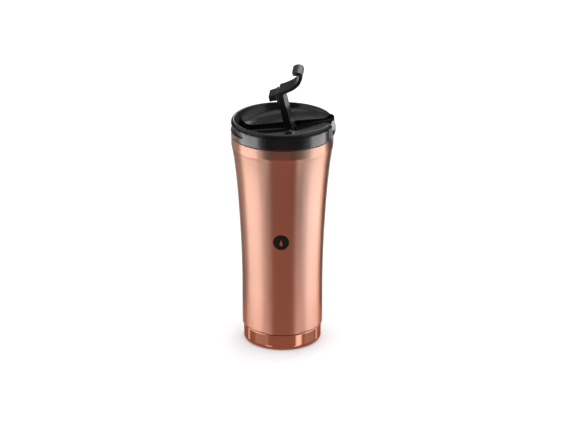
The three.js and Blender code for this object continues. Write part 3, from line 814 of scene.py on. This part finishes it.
def lever_distance(x, y, z):
    side = np.abs(y)
    profile = either(outline_distance(x, z, ARM), np.hypot(x, z) - BOSS_R, 0.8)
    profile = either(profile, outline_distance(x, z, TAB), 1.2)
    widening = np.clip((z - 5) / 18, 0, 1)
    half = LEVER_HALF_FOOT + (LEVER_HALF - LEVER_HALF_FOOT) * widening
    tip_share = np.clip((z - 38) / 5, 0, 1)
    lever = (both(profile, side - half, ARM_EDGE_R) * (1 - tip_share)
             + both(profile, side - half, TIP_EDGE_R) * tip_share)
    free_end = np.minimum(both(TAB_END_X - x, side - LEVER_HALF, TAB_CORNER_R), z - TAB_TOP_Z)
    lever = both(lever, free_end, 0.8)
    lever = cut(lever, np.hypot(x, z) - PIN_R - 0.2, 0.2)
    stem_hole = np.maximum(np.hypot(y, z - STEM_Z) - 1.9, x)
    stem_hole = np.maximum(stem_hole, -3.0 - x)
    return cut(lever, stem_hole, 0.1)


def lever_arm():
    edge = 1.3 * LEVER_STEP
    obj = moulded("flip_lever", lever_distance, (-BOSS_R - edge, -LEVER_HALF - edge, -BOSS_R - edge),
                  (21 + edge, LEVER_HALF + edge, 48.1 + edge), LEVER_STEP, 0.5, LEVER, TO_ROW)
    return piece(obj, "lever", "lever_plastic", "lever_arm")


def plug_distance(x, y, z):
    side = np.abs(y)

    def face(at):
        return -ARM_HALF_FOOT + (ARM_HALF_FOOT - ARM_HALF_TOP) * at / ARM_LENGTH - GAP

    pad = outline_distance(x, z, [(face(FLANGE_LOW), FLANGE_LOW), (face(PLUG_HIGH), PLUG_HIGH),
                                  (-FLANGE_OUTER, PLUG_HIGH), (-FLANGE_OUTER, FLANGE_LOW)])
    pad = both(pad, side - LEVER_HALF_FOOT, 0.35)
    middle, half = (PLUG_LOW + PLUG_HIGH) / 2, (PLUG_HIGH - PLUG_LOW) / 2
    stopper = oblong(z, y, middle, half, PLUG_HALF)
    taper = outline_distance(x, z, [
        (-FLANGE_OUTER + 0.5, PLUG_LOW), (-FLANGE_OUTER + 0.5, PLUG_HIGH), (-FLANGE_OUTER, PLUG_HIGH),
        (-PLUG_DEPTH, PLUG_HIGH - 1.3), (-PLUG_DEPTH, PLUG_LOW + 0.4), (-FLANGE_OUTER, PLUG_LOW)])
    stopper = both(stopper, taper, 0.8)
    stem = np.maximum(np.hypot(y, z - STEM_Z) - 1.6, np.maximum(x + 0.35, -3.2 - x))
    return either(either(pad, stopper, 0.3), stem)


def sip_plug():
    obj = moulded("sip_stopper", plug_distance,
                  (-PLUG_DEPTH - 0.5, -LEVER_HALF_FOOT - 0.5, FLANGE_LOW - 0.5),
                  (0.2, LEVER_HALF_FOOT + 0.5, PLUG_HIGH + 0.6), 0.25, 0.5, SILICONE, TO_ROW)
    return piece(obj, "lever", "silicone", "sip_plug")


for build in (outer_wall, inner_wall, inner_bottom, outer_bottom, seal_bead, getter, base_cap,
              round_mark, lid_shell, lid_insert, seal_ring, hinge_pin, lever_arm, sip_plug):
    build()


# ---- Floor, light and camera ----
def flat_material(name, colour, roughness):
    f = Finish(name, Roughness=roughness)
    shade = tuple(c * 0.985 for c in colour)
    f.set("Base Color", f.mixed(f.spread(f.noise(3.0), 0, 1), colour, shade))
    return f.material


CAMERA_AZIMUTH = math.radians(4.5)


def floor():
    """A wide pale floor. The metal doesn't mirror it: a black card would hide it in a studio."""
    half = 4000
    obj = new_object("floor", [(-half, -half, 0), (half, -half, 0), (half, half, 0), (-half, half, 0)],
                     [(0, 1, 2, 3)], flat_material("floor_paper", (0.88, 0.88, 0.885), 0.9))
    obj.visible_glossy = False
    obj.visible_shadow = False


def panel(name, azimuth, distance, height, size, glow, colour=(1, 1, 1), aim=None):
    """A rectangular light at an azimuth round the object: 0 is towards the camera, + to the right.
    glow is how bright it looks."""
    a = math.radians(azimuth) + CAMERA_AZIMUTH
    light = bpy.data.lights.new(name, "AREA")
    light.shape = "RECTANGLE"
    light.size, light.size_y = size
    light.energy = glow * math.pi * size[0] * size[1]
    light.color = colour
    obj = bpy.data.objects.new(name, light)
    obj.location = (distance * math.sin(a), -distance * math.cos(a), height)
    target = Vector(aim if aim is not None else (0, 0, height))
    obj.rotation_euler = (target - obj.location).to_track_quat("-Z", "Y").to_euler()
    obj.visible_camera = False
    bpy.context.scene.collection.objects.link(obj)


def studio():
    world = bpy.data.worlds.new("studio")
    bpy.context.scene.world = world
    world.use_nodes = True
    background = world.node_tree.nodes["Background"]
    background.inputs["Color"].default_value = (0.045, 0.045, 0.048, 1)
    background.inputs["Strength"].default_value = 1.0
    near, tall, low_edge = 0.32, 0.13, -0.082
    upright = low_edge + tall / 2
    panel("left_panel", -76, near, upright, (0.41, tall), 1.0, (0.97, 1.0, 1.03))
    panel("left_edge", -119, near, upright, (0.12, tall), 0.25, (1.0, 0.8, 0.68))
    panel("right_panel", 76, near, upright, (0.31, tall), 1.2, (0.9, 1.02, 1.15))
    panel("right_edge", 112, near, upright, (0.12, tall), 1.2, (1.0, 0.9, 0.8))
    panel("left_low", -43, 1.0, -0.70, (0.34, 0.30), 1.4)
    panel("right_low", 45, 1.0, -0.70, (0.30, 0.30), 1.3)
    panel("left_strip", -80, 0.74, -0.110, (0.70, 0.10), 3.6)
    panel("left_back_strip", -128, 0.74, -0.105, (0.50, 0.09), 0.8, (1.0, 0.8, 0.72))
    panel("right_strip", 88, 0.74, -0.110, (0.60, 0.10), 3.5)
    panel("foot_strip", 47, 0.30, -0.120, (0.09, 0.05), 1.1)
    panel("foot_left", -112, 0.30, -0.120, (0.025, 0.05), 1.0)
    panel("foot_right", 115, 0.30, -0.120, (0.025, 0.05), 1.0)
    panel("foot_wash_left", -62, 0.30, -0.125, (0.24, 0.05), 0.16)
    panel("foot_wash_right", 84, 0.30, -0.125, (0.20, 0.05), 0.12)
    panel("front_card", 0, 0.20, -0.002, (0.50, 0.24), 0.26, (1.0, 0.40, 0.26), aim=(0, -0.20, 1))
    panel("left_high", -85, 1.3, 0.95, (2.2, 1.0), 0.36)
    panel("right_high", 85, 1.3, 0.95, (2.2, 1.0), 0.36)
    panel("backdrop_left", -157, 1.5, 1.05, (1.2, 1.2), 0.12)
    panel("backdrop_right", 157, 1.5, 0.92, (1.2, 1.4), 1.3)
    panel("back_floor", 180, 1.0, -0.2, (0.9, 0.6), 1.0)
    panel("overhead", 0, 0.0, 1.3, (1.6, 1.6), 0.42, aim=(0, 0, 0))
    sun = bpy.data.lights.new("sky", "SUN")
    sun.energy = 3.55
    sun.angle = math.radians(100)
    obj = bpy.data.objects.new("sky", sun)
    obj.visible_glossy = False
    bpy.context.scene.collection.objects.link(obj)


def camera():
    """Stands where the photographer stood: a little to the right, looking down on the lid."""
    distance, azimuth, elevation = 2.084, CAMERA_AZIMUTH, math.radians(21.55)
    aim = Vector((0.0009, 0, 0.1077))
    back = Vector((math.sin(azimuth) * math.cos(elevation), -math.cos(azimuth) * math.cos(elevation),
                   math.sin(elevation)))
    data = bpy.data.cameras.new("camera")
    data.sensor_width = 36
    data.lens = 164.3175
    data.clip_end = 20
    obj = bpy.data.objects.new("camera", data)
    obj.location = aim + back * distance
    obj.rotation_euler = (-back).to_track_quat("-Z", "Y").to_euler()
    bpy.context.scene.collection.objects.link(obj)
    bpy.context.scene.camera = obj


floor()
studio()
camera()
bpy.context.scene.view_settings.view_transform = "Standard"
